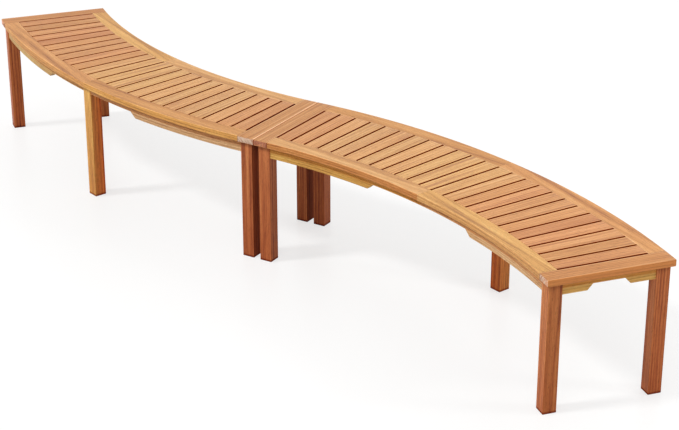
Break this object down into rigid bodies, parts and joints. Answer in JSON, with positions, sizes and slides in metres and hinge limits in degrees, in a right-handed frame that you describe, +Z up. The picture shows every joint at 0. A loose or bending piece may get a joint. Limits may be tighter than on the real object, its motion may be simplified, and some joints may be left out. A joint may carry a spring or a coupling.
{
  "type": "curved fire pit bench",
  "caption": "Backless curved patio bench in oiled hardwood: fanned slats between curved rails on square legs, as like sections set end to end in a lazy S around a fire pit.",
  "frame": {"origin": "on the ground under the middle of the seam between the sections, which is the middle of the whole", "axes": "+Z up; +X square to the seam and into the right section; +Y along the seam, towards the bulging side of the right section"},
  "size_m": [3.1596, 1.3488, 0.45],
  "materials": {
    "slat_timber": "oiled",
    "rail_timber": "oiled",
    "leg_timber": "oiled",
    "apron_timber": "oiled",
    "inner_timber": "sawn and oiled",
    "zinc_steel": "zinc plated"
  },
  "bodies": {
    "root": {"left_centre_bearer": "inner_timber", "left_free_end_apron": "apron_timber", "left_free_end_board": "rail_timber", "left_free_inner_apron": "apron_timber", "left_free_inner_block": "inner_timber", "left_free_inner_leg": "leg_timber", "left_free_inner_rail": "rail_timber", "left_free_outer_apron": "apron_timber", "left_free_outer_block": "inner_timber", "left_free_outer_leg": "leg_timber", "left_free_outer_rail": "rail_timber", "left_leg_bolts": "zinc_steel", "left_leg_washers": "zinc_steel", "left_middle_leg": "leg_timber", "left_seam_end_apron": "apron_timber", "left_seam_end_board": "rail_timber", "left_seam_inner_apron": "apron_timber", "left_seam_inner_block": "inner_timber", "left_seam_inner_leg": "leg_timber", "left_seam_inner_rail": "rail_timber", "left_seam_outer_apron": "apron_timber", "left_seam_outer_block": "inner_timber", "left_seam_outer_leg": "leg_timber", "left_seam_outer_rail": "rail_timber", "left_slats_1": "slat_timber", "left_slats_2": "slat_timber", "left_slats_3": "slat_timber", "left_slats_4": "slat_timber", "right_centre_bearer": "inner_timber", "right_free_end_apron": "apron_timber", "right_free_end_board": "rail_timber", "right_free_inner_apron": "apron_timber", "right_free_inner_block": "inner_timber", "right_free_inner_leg": "leg_timber", "right_free_inner_rail": "rail_timber", "right_free_outer_apron": "apron_timber", "right_free_outer_block": "inner_timber", "right_free_outer_leg": "leg_timber", "right_free_outer_rail": "rail_timber", "right_leg_bolts": "zinc_steel", "right_leg_washers": "zinc_steel", "right_middle_leg": "leg_timber", "right_seam_end_apron": "apron_timber", "right_seam_end_board": "rail_timber", "right_seam_inner_apron": "apron_timber", "right_seam_inner_block": "inner_timber", "right_seam_inner_leg": "leg_timber", "right_seam_inner_rail": "rail_timber", "right_seam_outer_apron": "apron_timber", "right_seam_outer_block": "inner_timber", "right_seam_outer_leg": "leg_timber", "right_seam_outer_rail": "rail_timber", "right_slats_1": "slat_timber", "right_slats_2": "slat_timber", "right_slats_3": "slat_timber", "right_slats_4": "slat_timber"}
  },
  "joints": []
}
